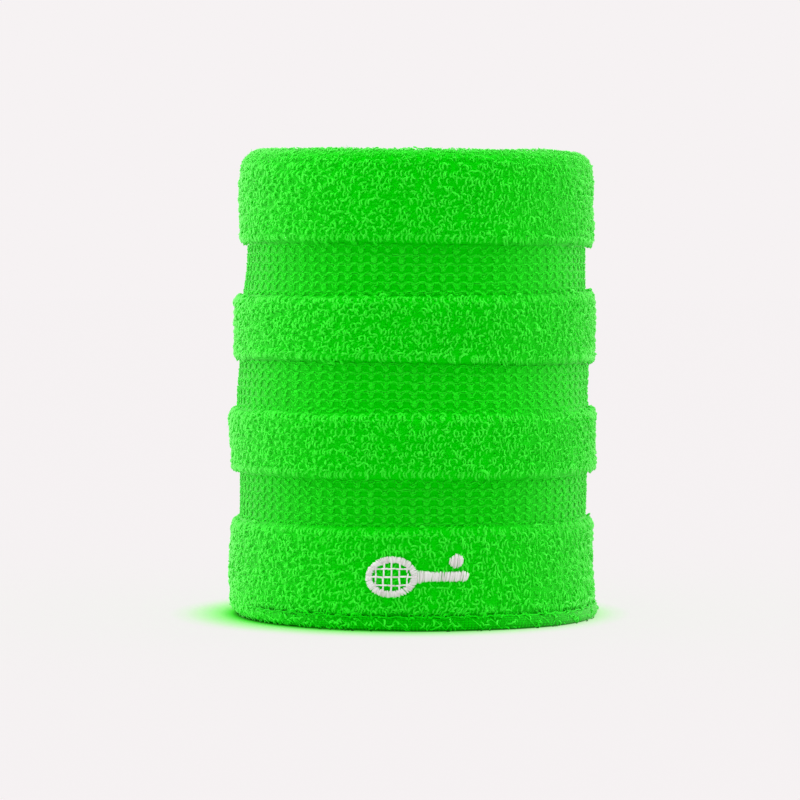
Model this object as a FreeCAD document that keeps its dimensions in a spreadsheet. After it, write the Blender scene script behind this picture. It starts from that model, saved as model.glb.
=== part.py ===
import FreeCAD, Part

# Sweat wristband, in millimetres.
#
# The real band is one circular-knitted tube of looped cotton with elastic yarn laid into it.
# The tube is folded in half over itself, so it has an outer and an inner layer that turn into
# each other at the top fold, and an overlocked seam closes both cut ends at the bottom. Zones
# of terry loops take turns with zones of plain knit, outside and inside alike.
#
# +Z runs along the wrist, with the seam at the bottom, and the tube's axis is the Z axis.
# The front, which carries the embroidery, faces -Y. The origin is the middle of the bottom.

import math
import os

import Sketcher

doc = FreeCAD.newDocument("sweat_wristband")
sheet = doc.addObject("Spreadsheet::Sheet", "sizes")

# --- Driving dimensions ----------------------------------------------------------------

SIZES = [
    ("overall_height", 80.8, "from the bottom of the seam to the top of the fold"),
    ("bore_radius", 25.5, "to the tips of the inner loops, band relaxed"),
    ("pile_height", 1.3, "how far the terry loops stand off the ground knit"),
    ("ground_thickness", 1.2, "one layer of ground knit with its elastic yarn"),
    ("layer_gap", 0.5, "between the two layers at the top"),
    ("knit_upper_height", 8.6, "first plain zone under the top zone of terry"),
    ("terry_upper_height", 11.5, "second zone of terry"),
    ("knit_middle_height", 8.5, "second plain zone"),
    ("terry_lower_height", 10.7, "third zone of terry"),
    ("knit_lower_height", 8.3, "third plain zone"),
    ("terry_bottom_height", 14.0, "last zone of terry, which carries the embroidery"),
    ("lean_knit_upper_foot", 0.2, "how far the outer layer stands out there, past the top"),
    ("lean_knit_middle_head", 0.6, "the same, at the head of the middle plain zone"),
    ("lean_knit_middle_foot", 1.2, "the same, at its foot, where the band is widest"),
    ("lean_knit_lower_head", 0.8, "the same, at the head of the lower plain zone"),
    ("lean_bottom", 0.6, "the same, all down the bottom zone of terry"),
    ("shoulder_round", 0.8, "radius of a terry zone's edge beside plain knit"),
    ("elastic_diameter", 0.4, "covered elastic yarn"),
    ("elastic_pitch", 2.8, "about the spacing of its rings, up the band"),
    ("lip_height", 2.9, "the two overlocked edges below the last terry zone"),
    ("lip_overhang", 0.3, "how far the lip stands out past the terry above it"),
    ("lip_inset", 0.9, "how far the lip's inner face is back from the loop tips"),
    ("lip_round", 1.0, "radius of the lip's lower edges"),
    ("seam_thread_diameter", 0.5, "bulked overlock thread"),
    ("motif_offset", 0.8, "middle of the embroidery, to the right of the front"),
    ("motif_rise", 6.4, "middle of the embroidery above the lip"),
    ("motif_thickness", 0.4, "how far the satin stitches stand off the terry"),
    ("head_length", 8.6, "racket's head, along the racket"),
    ("head_width", 6.6, "racket's head, across the racket"),
    ("rim_width", 1.0, "one satin column round the head"),
    ("string_width", 0.35, "one run of thread"),
    ("string_spacing", 1.3, "between the racket's strings"),
    ("throat_overlap", 1.2, "how far the throat's outline reaches under the head's"),
    ("throat_length", 1.9, "from the head to the handle"),
    ("throat_width", 2.2, "across the throat"),
    ("handle_length", 6.5, "racket's handle"),
    ("handle_width", 1.5, "across the handle"),
    ("ball_diameter", 2.2, "the ball beside the handle"),
    ("ball_inset", 1.9, "ball's middle, short of the handle's end"),
    ("ball_rise", 2.5, "ball's middle above the racket's"),
    ("bobbin_thickness", 0.2, "bobbin thread behind the stitches"),
    ("backing_thickness", 0.2, "stiff non-woven patch behind the bobbin thread"),
    ("backing_margin", 1.6, "patch past the embroidery, all round"),
]

for row, (alias, value, note) in enumerate(SIZES, start=1):
    sheet.set(f"A{row}", alias)
    sheet.set(f"B{row}", str(value))
    sheet.setAlias(f"B{row}", alias)
    sheet.set(f"C{row}", note)
doc.recompute()

# --- Expressions that several pieces share ---------------------------------------------

HALF_WALL = "(sizes.pile_height + sizes.ground_thickness + sizes.layer_gap / 2)"
INNER_GROUND = "(sizes.bore_radius + sizes.pile_height)"
INNER_OUTSIDE = f"({INNER_GROUND} + sizes.ground_thickness)"
OUTER_INSIDE = f"({INNER_OUTSIDE} + sizes.layer_gap)"
FOLD_FOOT = f"(sizes.overall_height - {HALF_WALL})"
FOLD_MIDDLE = f"({INNER_OUTSIDE} + sizes.layer_gap / 2)"

# Zones from the seam up: name, whether it is terry, height, and the outer layer's lean at its foot.
# The top zone of terry takes the height that the others leave under the fold.
ZONES = [
    ("terry_bottom", True, "sizes.terry_bottom_height", "sizes.lean_bottom"),
    ("knit_lower", False, "sizes.knit_lower_height", "sizes.lean_bottom"),
    ("terry_lower", True, "sizes.terry_lower_height", "sizes.lean_knit_lower_head"),
    ("knit_middle", False, "sizes.knit_middle_height", "sizes.lean_knit_middle_foot"),
    ("terry_upper", True, "sizes.terry_upper_height", "sizes.lean_knit_middle_head"),
    ("knit_upper", False, "sizes.knit_upper_height", "sizes.lean_knit_upper_foot"),
    ("terry_top", True, None, "0"),
]

LIP_INNER = "(sizes.bore_radius + sizes.lip_inset)"
BOTTOM_OUTSIDE = f"({OUTER_INSIDE} + sizes.lean_bottom + sizes.ground_thickness + sizes.pile_height)"
LIP_OUTER = f"({BOTTOM_OUTSIDE} + sizes.lip_overhang)"

pieces = []


def number(expression):
    """What an expression comes to, in millimetres."""
    value = sheet.evalExpression(expression)
    return float(getattr(value, "Value", value))


def keep(feature, label):
    """Makes this object one of the wristband's pieces, under this name."""
    feature.Label = label
    pieces.append(feature)
    return feature


# --- Sketches and rings ----------------------------------------------------------------


def new_sketch(body, name):
    """An empty sketch on the body's own XZ plane, where x is the radius and y is the height."""
    sketch = body.newObject("Sketcher::SketchObject", name)
    plane = next(f for f in body.Origin.OriginFeatures if f.Role == "XZ_Plane")
    sketch.AttachmentSupport = [(plane, "")]
    sketch.MapMode = "FlatFace"
    return sketch


def bind(sketch, kind, *where, to):
    """Adds a dimension whose value is an expression."""
    index = sketch.addConstraint(Sketcher.Constraint(kind, *where, number(to)))
    sketch.setExpression(f"Constraints[{index}]", to)


def pin(sketch, geometry, point, radius, height):
    """Holds a point of the sketch at this radius and height, both expressions."""
    bind(sketch, "DistanceX", -1, 1, geometry, point, to=radius)
    bind(sketch, "DistanceY", -1, 1, geometry, point, to=height)


def draw_outline(sketch, corners):
    """A closed outline of straight lines through corners, each a radius and a height."""
    points = [FreeCAD.Vector(number(r), number(z), 0) for r, z in corners]
    first = sketch.GeometryCount
    count = len(points)
    for k in range(count):
        sketch.addGeometry(Part.LineSegment(points[k], points[(k + 1) % count]))
    for k, (radius, height) in enumerate(corners):
        before = first + (k - 1) % count
        sketch.addConstraint(Sketcher.Constraint("Coincident", before, 2, first + k, 1))
        pin(sketch, first + k, 1, radius, height)


def turn(body, sketch, name):
    """Turns a sketch once round the Z axis, which makes the body."""
    feature = body.newObject("PartDesign::Revolution", name)
    feature.Profile = (sketch, [""])
    feature.ReferenceAxis = (sketch, ["V_Axis"])
    feature.Angle = 360


def round_edges(body, edges, radius, name):
    """Rounds the round edges at these places, each a radius and a height."""
    doc.recompute()
    base = body.Tip
    wanted = []
    for across, up in edges:
        for index, edge in enumerate(base.Shape.Edges, start=1):
            if not isinstance(edge.Curve, Part.Circle):
                continue
            same_radius = math.isclose(edge.Curve.Radius, number(across), abs_tol=1e-4)
            same_height = math.isclose(edge.Curve.Center.z, number(up), abs_tol=1e-4)
            if same_radius and same_height:
                wanted.append(f"Edge{index}")
    if len(wanted) != len(edges):
        raise RuntimeError(f"{name} finds {len(wanted)} edges of {len(edges)}")
    fillet = body.newObject("PartDesign::Fillet", name)
    fillet.Base = (base, wanted)
    fillet.setExpression("Radius", radius)


def ring(label, corners, rounded, yarns):
    """A ring with this outline and rounded edges, with a bed cut for each yarn sunk into it."""
    body = doc.addObject("PartDesign::Body", f"{label}_body")
    outline = new_sketch(body, f"{label}_outline")
    draw_outline(outline, corners)
    turn(body, outline, f"{label}_ring")
    for edges, radius in rounded:
        round_edges(body, edges, radius, f"{label}_round")
    return keep(combine("Cut", label, body, bundle(f"{label}_beds", yarns)), label)


def yarn(name, radius, height, diameter):
    """A yarn round the band, with a hexagon as wide as the yarn, corner to corner, for its section."""
    section = doc.addObject("Part::RegularPolygon", f"{name}_section")
    section.Polygon = 6
    section.setExpression("Circumradius", f"{diameter} / 2")
    section.Placement.Rotation = FreeCAD.Rotation(FreeCAD.Vector(1, 0, 0), 90)
    section.setExpression("Placement.Base.x", radius)
    section.setExpression("Placement.Base.z", height)
    turned = doc.addObject("Part::Revolution", name)
    turned.Source = section
    turned.Axis = FreeCAD.Vector(0, 0, 1)
    turned.Angle = 360
    turned.Solid = True
    return turned


def bundle(name, parts):
    """A group of separate solids as one object."""
    group = doc.addObject("Part::Compound", name)
    group.Links = parts
    return group


def combine(kind, name, base, tool):
    """A Part::Cut or Part::Common of two objects."""
    result = doc.addObject(f"Part::{kind}", name)
    result.Base = base
    result.Tool = tool
    return result


# --- The two layers of knitted tube ----------------------------------------------------


def elastic_yarns(name, foot, head, low_radius, high_radius):
    """Elastic yarns spread evenly up one face of a zone, about a pitch apart."""
    count = max(1, round((number(head) - number(foot)) / number("sizes.elastic_pitch")))
    yarns = []
    for k in range(count):
        share = (k + 0.5) / count
        height = f"({foot} + {share} * ({head} - {foot}))"
        radius = f"({low_radius} + {share} * ({high_radius} - {low_radius}))"
        yarns.append(yarn(f"{name}_{k}", radius, height, "sizes.elastic_diameter"))
    return yarns


outer_elastic = []
inner_elastic = []
foot = "sizes.lip_height"

for index, (zone, is_terry, height, lean) in enumerate(ZONES):
    head = f"({foot} + {height})" if height else FOLD_FOOT
    head_lean = ZONES[index + 1][3] if index + 1 < len(ZONES) else lean
    pile = "sizes.pile_height" if is_terry else "0"

    # The outer layer, with its loops outwards. A terry zone is rounded beside plain knit and
    # beside the lip.
    low = f"({OUTER_INSIDE} + {lean})"
    high = f"({OUTER_INSIDE} + {head_lean})"
    low_face = f"({low} + sizes.ground_thickness + {pile})"
    high_face = f"({high} + sizes.ground_thickness + {pile})"
    outer_yarns = elastic_yarns(f"outer_{zone}_elastic", foot, head, low, high)
    shoulders = [(low_face, foot), (high_face, head)]
    if zone == "terry_top":
        shoulders = shoulders[:1]
    outer_rounds = [(shoulders, "sizes.shoulder_round")] if is_terry else []
    ring(
        f"outer_{zone}",
        [(low, foot), (low_face, foot), (high_face, head), (high, head)],
        outer_rounds,
        outer_yarns,
    )
    outer_elastic += outer_yarns

    # The inner layer, with its loops towards the wrist.
    face = f"({INNER_GROUND} - {pile})"
    inner_yarns = elastic_yarns(f"inner_{zone}_elastic", foot, head, INNER_OUTSIDE, INNER_OUTSIDE)
    shoulders = [(face, foot), (face, head)]
    if zone == "terry_top":
        shoulders = shoulders[:1]
    if zone == "terry_bottom":
        shoulders = shoulders[1:]
    inner_rounds = [(shoulders, "sizes.shoulder_round")] if is_terry else []
    ring(
        f"inner_{zone}",
        [(face, foot), (INNER_OUTSIDE, foot), (INNER_OUTSIDE, head), (face, head)],
        inner_rounds,
        inner_yarns,
    )
    inner_elastic += inner_yarns
    foot = head

keep(bundle("outer_elastic_yarns", outer_elastic), "outer_elastic_yarns")
keep(bundle("inner_elastic_yarns", inner_elastic), "inner_elastic_yarns")


# --- The top fold, where the outer layer turns into the inner one ----------------------


def top_fold():
    """Half a thick-walled pipe over the two layers, rounded over the top."""
    body = doc.addObject("PartDesign::Body", "top_fold")
    sketch = new_sketch(body, "top_fold_outline")
    middle = FreeCAD.Vector(number(FOLD_MIDDLE), number(FOLD_FOOT), 0)
    reach = number(HALF_WALL)
    slot = number("sizes.layer_gap") / 2
    normal = FreeCAD.Vector(0, 0, 1)
    arcs = [
        sketch.addGeometry(Part.ArcOfCircle(Part.Circle(middle, normal, radius), 0, math.pi))
        for radius in (reach, slot)
    ]
    sides = []
    for side, end in ((1, 1), (-1, 2)):
        start = middle + FreeCAD.Vector(side * reach, 0, 0)
        stop = middle + FreeCAD.Vector(side * slot, 0, 0)
        line = sketch.addGeometry(Part.LineSegment(start, stop))
        sketch.addConstraint(Sketcher.Constraint("Coincident", arcs[0], end, line, 1))
        sketch.addConstraint(Sketcher.Constraint("Coincident", arcs[1], end, line, 2))
        sketch.addConstraint(Sketcher.Constraint("Horizontal", line))
        sides.append(line)
    pin(sketch, arcs[0], 3, FOLD_MIDDLE, FOLD_FOOT)
    sketch.addConstraint(Sketcher.Constraint("Coincident", arcs[0], 3, arcs[1], 3))
    for line in sides:
        sketch.addConstraint(Sketcher.Constraint("PointOnObject", arcs[0], 3, line))
    bind(sketch, "Radius", arcs[0], to=HALF_WALL)
    bind(sketch, "Radius", arcs[1], to="sizes.layer_gap / 2")
    turn(body, sketch, "top_fold_ring")
    keep(body, "top_fold")


top_fold()

# --- The closing seam ------------------------------------------------------------------

# Both cut ends lie together in the lip. The two looper threads bed into its faces, and the
# needle thread lies in the crease above it.
THREAD = "sizes.seam_thread_diameter"
LOOPER_HEIGHT = "(sizes.lip_height / 2)"
outer_looper = yarn("outer_looper", LIP_OUTER, LOOPER_HEIGHT, THREAD)
inner_looper = yarn("inner_looper", LIP_INNER, LOOPER_HEIGHT, THREAD)
ring(
    "closing_seam_lip",
    [(LIP_INNER, "0"), (LIP_OUTER, "0"), (LIP_OUTER, "sizes.lip_height"), (LIP_INNER, "sizes.lip_height")],
    [
        ([(LIP_INNER, "0"), (LIP_OUTER, "0")], "sizes.lip_round"),
        ([(LIP_OUTER, "sizes.lip_height")], "sizes.shoulder_round"),
    ],
    [outer_looper, inner_looper],
)
keep(outer_looper, "seam_outer_looper_thread")
keep(inner_looper, "seam_inner_looper_thread")

# The needle thread touches the lip's rounded shoulder at the level of the lip's top.
REACH = f"(sizes.shoulder_round + {THREAD} / 2)"
CREASE = f"({LIP_OUTER} - sizes.shoulder_round + sqrt({REACH} ^ 2 - sizes.shoulder_round ^ 2))"
keep(yarn("needle_thread", CREASE, "sizes.lip_height", THREAD), "seam_needle_thread")

# --- The embroidery: a racket lying on its side, and a ball ----------------------------

MIDDLE_HEIGHT = "(sizes.lip_height + sizes.motif_rise)"
RACKET_LENGTH = "(sizes.head_length + sizes.throat_length + sizes.handle_length)"
LEFT_END = f"(sizes.motif_offset - {RACKET_LENGTH} / 2)"
HEAD_MIDDLE = f"({LEFT_END} + sizes.head_length / 2)"
HEAD_END = f"({LEFT_END} + sizes.head_length)"
HANDLE_START = f"({HEAD_END} + sizes.throat_length)"
HANDLE_END = f"({LEFT_END} + {RACKET_LENGTH})"
FRONT_REACH = f"({LIP_OUTER} + sizes.motif_thickness + sizes.layer_gap)"


def block(name, left, width, bottom, height):
    """A box from the axis out through the front wall."""
    box = doc.addObject("Part::Box", name)
    box.setExpression("Length", width)
    box.setExpression("Width", FRONT_REACH)
    box.setExpression("Height", height)
    box.setExpression("Placement.Base.x", left)
    box.setExpression("Placement.Base.y", f"-{FRONT_REACH}")
    box.setExpression("Placement.Base.z", bottom)
    return box


def oval_block(name, middle, length, bottom, width):
    """An upright oval from the axis out through the front wall."""
    outline = doc.addObject("Part::Ellipse", f"{name}_outline")
    outline.setExpression("MajorRadius", f"{length} / 2")
    outline.setExpression("MinorRadius", f"{width} / 2")
    upright = FreeCAD.Rotation(FreeCAD.Vector(1, 0, 0), 90)
    outline.Placement = FreeCAD.Placement(FreeCAD.Vector(), upright)
    outline.setExpression("Placement.Base.x", middle)
    outline.setExpression("Placement.Base.z", f"{bottom} + {width} / 2")
    oval = doc.addObject("Part::Extrusion", name)
    oval.Base = outline
    oval.DirMode = "Custom"
    oval.Dir = FreeCAD.Vector(0, -1, 0)
    oval.Solid = True
    oval.setExpression("LengthFwd", FRONT_REACH)
    return oval


def shell(name, inner, outer):
    """The space between two radii, over the bottom zone of terry."""
    walls = []
    for side, radius in (("outer", outer), ("inner", inner)):
        wall = doc.addObject("Part::Cylinder", f"{name}_{side}")
        wall.setExpression("Radius", radius)
        wall.setExpression("Height", "sizes.terry_bottom_height")
        wall.setExpression("Placement.Base.z", "sizes.lip_height")
        walls.append(wall)
    return combine("Cut", name, *walls)


def fuse_all(name, parts):
    """All of these objects as one."""
    result = doc.addObject("Part::MultiFuse", name)
    result.Shapes = parts
    return result


HEAD_BOTTOM = f"({MIDDLE_HEIGHT} - sizes.head_width / 2)"
OPENING_LENGTH = "(sizes.head_length - 2 * sizes.rim_width)"
OPENING_WIDTH = "(sizes.head_width - 2 * sizes.rim_width)"
head = oval_block("head_block", HEAD_MIDDLE, "sizes.head_length", HEAD_BOTTOM, "sizes.head_width")
opening = oval_block(
    "opening_block",
    HEAD_MIDDLE,
    OPENING_LENGTH,
    f"({MIDDLE_HEIGHT} - {OPENING_WIDTH} / 2)",
    OPENING_WIDTH,
)
ball = oval_block(
    "ball_block",
    f"({HANDLE_END} - sizes.ball_inset)",
    "sizes.ball_diameter",
    f"({MIDDLE_HEIGHT} + sizes.ball_rise - sizes.ball_diameter / 2)",
    "sizes.ball_diameter",
)
throat = block(
    "throat_block",
    f"{HEAD_END} - sizes.throat_overlap",
    "sizes.throat_length + sizes.throat_overlap",
    f"{MIDDLE_HEIGHT} - sizes.throat_width / 2",
    "sizes.throat_width",
)
handle = block(
    "handle_block",
    HANDLE_START,
    "sizes.handle_length",
    f"{MIDDLE_HEIGHT} - sizes.handle_width / 2",
    "sizes.handle_width",
)


def string_blocks():
    """Strings up and across the head's opening, as many as fit clear of the rim."""
    strings = []
    for way, across in (("up", OPENING_LENGTH), ("across", OPENING_WIDTH)):
        count = math.floor(number(across) / 2 / number("sizes.string_spacing"))
        for k in range(-count, count + 1):
            step = f"{k} * sizes.string_spacing - sizes.string_width / 2"
            if way == "up":
                box = block(
                    f"string_up_{k + count}",
                    f"{HEAD_MIDDLE} + {step}",
                    "sizes.string_width",
                    HEAD_BOTTOM,
                    "sizes.head_width",
                )
            else:
                box = block(
                    f"string_across_{k + count}",
                    LEFT_END,
                    "sizes.head_length",
                    f"{MIDDLE_HEIGHT} + {step}",
                    "sizes.string_width",
                )
            strings.append(box)
    return strings


stitches = shell("stitch_shell", BOTTOM_OUTSIDE, f"({BOTTOM_OUTSIDE} + sizes.motif_thickness)")
rim = combine("Cut", "rim_block", head, opening)
strings = combine("Common", "strings_block", fuse_all("all_strings", string_blocks()), opening)
open_throat = combine("Cut", "open_throat_block", throat, head)
for label, solid in (
    ("motif_racket_head", rim),
    ("motif_racket_strings", strings),
    ("motif_racket_throat", open_throat),
    ("motif_racket_handle", handle),
    ("motif_ball", ball),
):
    keep(combine("Common", label, solid, stitches), label)

# Behind the stitches, clear of the elastic yarn that stands out of the layer's inner face: the
# bobbin thread, with the same outline, and the backing patch.
BOBBIN_FACE = f"({OUTER_INSIDE} + sizes.lean_bottom - sizes.elastic_diameter / 2)"
BACKING_FACE = f"({BOBBIN_FACE} - sizes.bobbin_thickness)"
bobbin = shell("bobbin_shell", BACKING_FACE, BOBBIN_FACE)
backing = shell("backing_shell", f"({BACKING_FACE} - sizes.backing_thickness)", BACKING_FACE)
whole_motif = fuse_all("whole_motif", [head, throat, handle, ball])
keep(combine("Common", "embroidery_bobbin_thread", whole_motif, bobbin), "embroidery_bobbin_thread")
patch = block(
    "patch_block",
    f"{LEFT_END} - sizes.backing_margin",
    f"{RACKET_LENGTH} + 2 * sizes.backing_margin",
    f"{HEAD_BOTTOM} - sizes.backing_margin / 2",
    "sizes.head_width + sizes.backing_margin",
)
keep(combine("Common", "embroidery_backing", patch, backing), "embroidery_backing")

# --- Checks and files ------------------------------------------------------------------

doc.recompute()
for feature in doc.Objects:
    if "Invalid" in feature.State or "Error" in feature.State:
        raise RuntimeError(f"{feature.Label} failed: {feature.State}")

os.makedirs("parts", exist_ok=True)
for piece in pieces:
    shape = piece.Shape
    if shape.isNull() or not shape.isValid() or not shape.Solids:
        raise RuntimeError(f"{piece.Label} has no valid solid")
for piece in pieces:
    piece.Shape.exportStep(f"parts/{piece.Label}.step")
    box = piece.Shape.optimalBoundingBox()
    print(
        f"{piece.Label}: {len(piece.Shape.Solids)} solids, {piece.Shape.Volume:.1f} mm3, "
        f"z {box.ZMin:.2f} to {box.ZMax:.2f}, reach {box.XMax:.2f}"
    )
print(f"{len(pieces)} pieces")
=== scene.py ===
# %% [markdown]
# # A sweat wristband
# The real band is one knitted tube of looped cotton, folded in half over itself, so it has an outer and an
# inner layer. Zones of terry loops take turns with zones of plain knit, and an overlocked seam closes the
# bottom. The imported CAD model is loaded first. It says where every zone starts and ends and how far each
# stands out, so the looks below read their places from it and need no fitting.

# %% Load the frame
import math

import bpy
import numpy as np
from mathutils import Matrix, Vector


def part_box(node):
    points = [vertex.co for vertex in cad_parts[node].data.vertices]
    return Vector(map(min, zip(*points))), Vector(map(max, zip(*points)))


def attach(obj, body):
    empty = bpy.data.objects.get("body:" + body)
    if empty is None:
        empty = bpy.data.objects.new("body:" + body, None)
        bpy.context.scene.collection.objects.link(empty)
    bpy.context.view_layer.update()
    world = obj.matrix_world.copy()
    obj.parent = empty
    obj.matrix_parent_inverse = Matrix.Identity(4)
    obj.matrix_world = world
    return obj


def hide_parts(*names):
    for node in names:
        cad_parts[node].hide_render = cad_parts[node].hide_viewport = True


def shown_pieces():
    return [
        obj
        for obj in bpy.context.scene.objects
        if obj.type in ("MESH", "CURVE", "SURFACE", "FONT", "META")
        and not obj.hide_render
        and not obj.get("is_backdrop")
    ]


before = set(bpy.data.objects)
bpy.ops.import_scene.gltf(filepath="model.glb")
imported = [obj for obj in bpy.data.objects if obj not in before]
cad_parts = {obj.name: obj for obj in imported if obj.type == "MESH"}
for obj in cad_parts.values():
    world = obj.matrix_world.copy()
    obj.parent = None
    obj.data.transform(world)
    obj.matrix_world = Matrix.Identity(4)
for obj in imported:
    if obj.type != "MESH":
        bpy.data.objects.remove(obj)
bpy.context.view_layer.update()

MM = 0.001

# %% [markdown]
# ## Camera
# A long lens from a little above the middle of the band keeps its sides upright, as in a catalogue picture.
# It comes first, because every later choice is judged through it.

# %% Camera
CAMERA_PLACE = (-0.00236, -0.620, 0.0661)
CAMERA_DIP = math.radians(2.66)
LENS = 159.7

lens = bpy.data.cameras.new("camera")
lens.lens = LENS
lens.sensor_width = 36
lens.clip_start = 0.01
lens.clip_end = 50
camera = bpy.data.objects.new("camera", lens)
camera.location = CAMERA_PLACE
camera.rotation_euler = (math.radians(90) - CAMERA_DIP, 0, 0)
bpy.context.scene.collection.objects.link(camera)
bpy.context.scene.camera = camera
print("camera on a lens of", LENS, "mm")

# %% [markdown]
# ## Making finishes
# Every finish is a small tree of shader nodes. Nodes could be added one by one, but a helper that adds,
# sets and links a node in one line keeps a finish readable from top to bottom.


# %% Shader helpers
def add_node(tree, kind, links=(), **settings):
    """Adds a shader node. links feed its inputs, and settings are its own or constants of its inputs."""
    made = tree.nodes.new("ShaderNode" + kind)
    for key, value in settings.items():
        if hasattr(made, key):
            setattr(made, key, value)
        else:
            made.inputs[key.replace("_", " ")].default_value = value
    for socket, source in dict(links).items():
        tree.links.new(source, made.inputs[socket])
    return made


class Surface:
    """A material under construction: one Principled shader and short ways to add nodes to it."""

    def __init__(self, name, **constants):
        self.material = bpy.data.materials.new(name)
        self.material.use_nodes = True
        self.tree = self.material.node_tree
        self.shader = self.tree.nodes["Principled BSDF"]
        for socket, value in constants.items():
            self.shader.inputs[socket.replace("_", " ")].default_value = value

    def node(self, kind, links=(), **settings):
        return add_node(self.tree, kind, links, **settings)

    def place(self):
        return self.node("TexCoord").outputs["Object"]

    def noise(self, scale, detail=2.0):
        return self.node("TexNoise", {"Vector": self.place()}, Scale=scale, Detail=detail).outputs["Fac"]

    def attribute(self, name):
        return self.node("Attribute", attribute_name=name).outputs["Fac"]

    def math(self, operation, a, b=0.5, c=0.5):
        made = self.node("Math", operation=operation)
        for socket, value in zip(made.inputs, (a, b, c)):
            if isinstance(value, (int, float)):
                socket.default_value = value
            else:
                self.tree.links.new(value, socket)
        return made.outputs["Value"]

    def ramp(self, factor, stops):
        made = self.node("ValToRGB", {"Fac": factor})
        elements = made.color_ramp.elements
        elements.remove(elements[1])
        elements[0].position = stops[0][0]
        elements[0].color = (*stops[0][1], 1)
        for position, colour in stops[1:]:
            elements.new(position).color = (*colour, 1)
        return made.outputs["Color"]

    def feed(self, output, socket):
        self.tree.links.new(output, self.shader.inputs[socket])

    def bump(self, height, distance, strength=1.0):
        made = self.node("Bump", {"Height": height}, Distance=distance, Strength=strength)
        self.feed(made.outputs["Normal"], "Normal")

    def show(self, shader):
        """Makes another shader the one that is seen."""
        self.tree.links.new(shader.outputs[0], self.tree.nodes["Material Output"].inputs["Surface"])


print("shader helpers ready")

# %% [markdown]
# ## Floor and light
# A white cove: pale floor, pale surroundings and soft light from everywhere, with two large soft lights
# beside the band and a little behind it, so that its sides glow and its front stays calmer, and a third
# from above. These lights reach only the band, so the floor keeps one even tone. Most of the floor's tone
# is its own light, and near the band more of it is reflected. Near the band the floor's colour also has
# a painted shadow and a painted reflection: a thin dark edge and a green glow, painted by distance from
# the band, for the green light that neon dye throws. A bare lamp and a grey floor would be simpler, but
# would leave a hard shadow.

# %% Surroundings
PALE = (0.9216, 0.8879, 0.8963)
SURROUND = 0.62

world = bpy.data.worlds.new("cove")
bpy.context.scene.world = world
world.use_nodes = True
cove = world.node_tree
cove.nodes.clear()
seen = add_node(cove, "Background", Color=(*PALE, 1))
felt = add_node(cove, "Background", Color=(1, 1, 1, 1), Strength=SURROUND)
eye = add_node(cove, "LightPath").outputs["Is Camera Ray"]
either = add_node(cove, "MixShader", {0: eye, 1: felt.outputs[0], 2: seen.outputs[0]})
add_node(cove, "OutputWorld", {"Surface": either.outputs[0]})
bpy.context.scene.view_settings.view_transform = "Standard"
bpy.context.scene.view_settings.look = "None"
print("surroundings ready")

# %% Floor
FLOOR_SPAN = 6.0
# Middle, edge and reach of the painted shadow and painted green bounce around the band, and where they start
# and calm inside the ring.
GLOW_MIDDLE = (-0.0024, 0, 0)
GLOW_EDGE = 0.0280
GLOW_REACH = 0.0124
INNER_EDGE = 0.0252
INNER_CALM = 0.0180
INNER_PAINTED_GREEN_BOUNCE = 0.35
OWN_LIGHT = 0.36
FAR_SHARE = 0.8
# Painted contact shadow and painted green bounce: the floor's colour by distance from the band, dark green at
# the band's edge, green near it and pale far off.
PAINTED_SHADOW_AND_GREEN_BOUNCE = (
    (0.00, (0.001, 0.150, 0.000)),
    (0.12, (0.090, 0.800, 0.060)),
    (0.30, (0.400, 0.960, 0.320)),
    (0.48, (0.600, 0.960, 0.530)),
    (0.60, (0.720, 0.950, 0.650)),
    (0.77, (0.860, 0.910, 0.820)),
    (1.00, PALE),
)

floor_look = Surface("pale_floor", Roughness=0.9, Specular_IOR_Level=0.0)
from_band = floor_look.node("VectorMath", {0: floor_look.place()}, operation="DISTANCE")
from_band.inputs[1].default_value = GLOW_MIDDLE
spread = {"Value": from_band.outputs["Value"]}
outer = floor_look.node("MapRange", spread, From_Min=GLOW_EDGE, From_Max=GLOW_EDGE + GLOW_REACH)
# Inside the ring the floor runs from the painted dark edge to a painted light green bounce.
inner = floor_look.node("MapRange", spread, From_Min=INNER_EDGE, From_Max=INNER_CALM, To_Max=INNER_PAINTED_GREEN_BOUNCE)
far = floor_look.math("MAXIMUM", outer.outputs["Result"], inner.outputs["Result"])
painted_shadow_and_bounce = {"Color": floor_look.ramp(far, PAINTED_SHADOW_AND_GREEN_BOUNCE)}
floor_look.tree.nodes.remove(floor_look.shader)
glow = floor_look.node("Emission", painted_shadow_and_bounce, Strength=1.0)
lit = floor_look.node("BsdfDiffuse", painted_shadow_and_bounce)
own = floor_look.node("Emission", painted_shadow_and_bounce, Strength=OWN_LIGHT)
near = floor_look.node("AddShader", {0: lit.outputs[0], 1: own.outputs[0]})
share = floor_look.math("MULTIPLY", far, FAR_SHARE)
floor_look.show(floor_look.node("MixShader", {0: share, 1: near.outputs[0], 2: glow.outputs[0]}))

bpy.ops.object.select_all(action="DESELECT")
bpy.ops.mesh.primitive_plane_add(size=FLOOR_SPAN, location=(0, 0, 0))
floor = bpy.context.object
floor.name = "floor"
floor.data.materials.append(floor_look.material)
floor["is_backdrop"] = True
print("floor", FLOOR_SPAN, "m across")

# %% Soft lights
AIM = (0, 0, 0.04)


def soft_light(name, place, width, height, watts):
    """A rectangular soft light at place that faces the middle of the band."""
    lamp = bpy.data.lights.new(name, "AREA")
    lamp.shape = "RECTANGLE"
    lamp.size = width
    lamp.size_y = height
    lamp.energy = watts
    made = bpy.data.objects.new(name, lamp)
    made.location = place
    facing = Vector([a - b for a, b in zip(AIM, place)])
    made.rotation_euler = facing.to_track_quat("-Z", "Y").to_euler()
    bpy.context.scene.collection.objects.link(made)
    return made


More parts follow.
